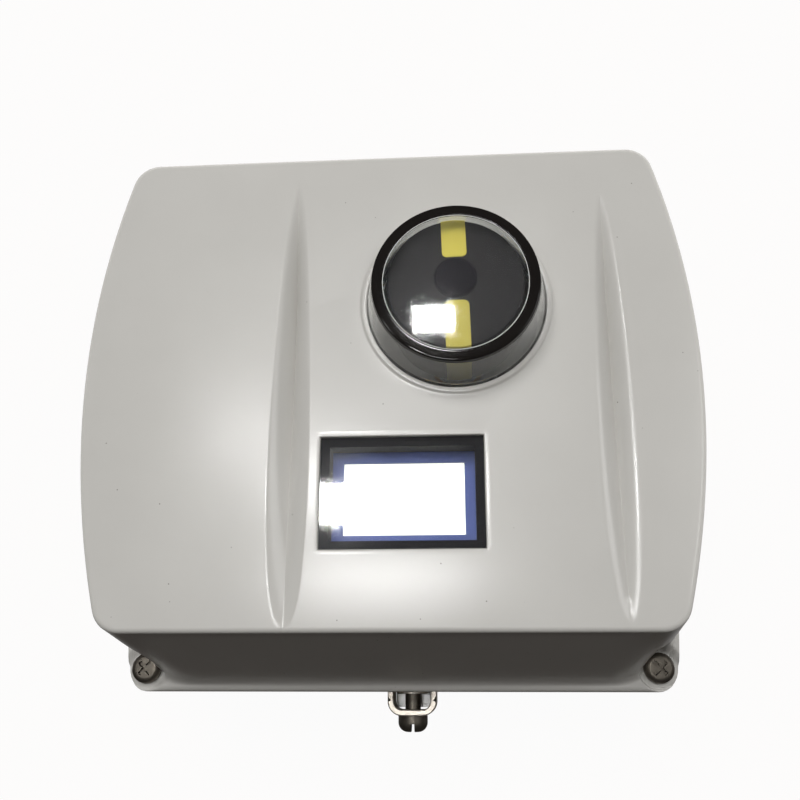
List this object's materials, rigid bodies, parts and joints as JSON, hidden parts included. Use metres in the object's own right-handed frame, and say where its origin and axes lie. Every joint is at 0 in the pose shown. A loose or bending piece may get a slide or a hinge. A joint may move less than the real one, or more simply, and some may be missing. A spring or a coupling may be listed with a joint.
{
  "type": "valve positioner",
  "caption": "Barrel-sided valve positioner with a crowned lift-off cover, turning pointer under a clear cap, display window, air ports and feedback shaft.",
  "frame": {"origin": "feedback shaft axis in the mounting face", "axes": "+Z from the mounting face to the cover's front, +Y to the cover's upper edge, +X to its right"},
  "size_m": [0.1776, 0.1844, 0.1329],
  "materials": {
    "cover_paint": "satin",
    "housing_paint": "satin",
    "block_aluminium": "satin",
    "clear_plastic": "gloss",
    "black_plastic": "gloss",
    "pointer_grey": "satin",
    "pointer_yellow": "satin",
    "hub_black": "satin",
    "panel_blue": "satin",
    "display": "gloss",
    "rubber_black": "matte",
    "steel": "brushed",
    "bronze": "satin",
    "gear_brass": "satin",
    "board_green": "satin",
    "case_grey": "matte",
    "key_rubber": "matte",
    "terminal_plastic": "satin"
  },
  "bodies": {
    "housing": {"housing": "housing_paint", "port_block": "block_aluminium", "entry_block": "block_aluminium", "exhaust_filter": "bronze", "cover_gasket": "rubber_black", "lower_bush": "bronze", "shaft_seal": "rubber_black", "bearing_bridge": "block_aluminium", "bridge_screws": "steel", "upper_bush": "bronze", "position_sensor": "case_grey", "spool_valve_body": "block_aluminium", "spool_end_plugs": "steel", "valve_screws": "steel", "prestage_unit": "case_grey", "electronics_case": "case_grey", "controller_board": "board_green", "board_spacers": "steel", "ui_board": "board_green", "ui_panel": "panel_blue", "lcd_module": "display", "terminal_block": "terminal_plastic", "terminal_screws": "steel", "earth_clamp": "steel", "earth_washer": "steel", "earth_screw": "steel"},
    "cover": {"cover": "cover_paint", "indicator_window": "clear_plastic", "window_ring": "black_plastic", "window_gasket": "rubber_black", "window_retainer": "steel", "retainer_screws": "steel", "lcd_window": "clear_plastic", "lcd_mask": "black_plastic", "cover_screws": "steel"},
    "shaft": {"feedback_shaft": "steel", "shaft_clip": "steel", "shaft_gear": "gear_brass", "pointer_drum": "pointer_grey", "pointer_stripes": "pointer_yellow", "pointer_cap": "hub_black"},
    "sensor_rotor": {"sensor_pinion": "gear_brass"},
    "spool": {"spool": "steel"},
    "key_1": {"button_1": "key_rubber"},
    "key_2": {"button_2": "key_rubber"},
    "key_3": {"button_3": "key_rubber"},
    "key_4": {"button_4": "key_rubber"}
  },
  "joints": [
    {"name": "cover_lift", "type": "slide", "parent": "housing", "child": "cover", "axis": [0, 0, 1], "range_m": [0, 0.09]},
    {"name": "shaft_turn", "type": "hinge", "parent": "housing", "child": "shaft", "pos_m": [0, 0, 0], "axis": [0, 0, 1], "continuous": true},
    {"name": "sensor_turn", "type": "hinge", "parent": "housing", "child": "sensor_rotor", "pos_m": [0, 0.0256, 0], "axis": [0, 0, 1], "continuous": true},
    {"name": "spool_slide", "type": "slide", "parent": "housing", "child": "spool", "axis": [0, 1, 0], "range_m": [-0.0015, 0.0015]},
    {"name": "key_1_press", "type": "slide", "parent": "housing", "child": "key_1", "axis": [0, 0, -1], "range_m": [0, 0.0008], "stiffness_N_per_m": 2000, "springref_m": -0.0004},
    {"name": "key_2_press", "type": "slide", "parent": "housing", "child": "key_2", "axis": [0, 0, -1], "range_m": [0, 0.0008], "stiffness_N_per_m": 2000, "springref_m": -0.0004},
    {"name": "key_3_press", "type": "slide", "parent": "housing", "child": "key_3", "axis": [0, 0, -1], "range_m": [0, 0.0008], "stiffness_N_per_m": 2000, "springref_m": -0.0004},
    {"name": "key_4_press", "type": "slide", "parent": "housing", "child": "key_4", "axis": [0, 0, -1], "range_m": [0, 0.0008], "stiffness_N_per_m": 2000, "springref_m": -0.0004}
  ],
  "couplings": [
    {"joint": "sensor_turn", "follows": "shaft_turn", "ratio": -3}
  ]
}
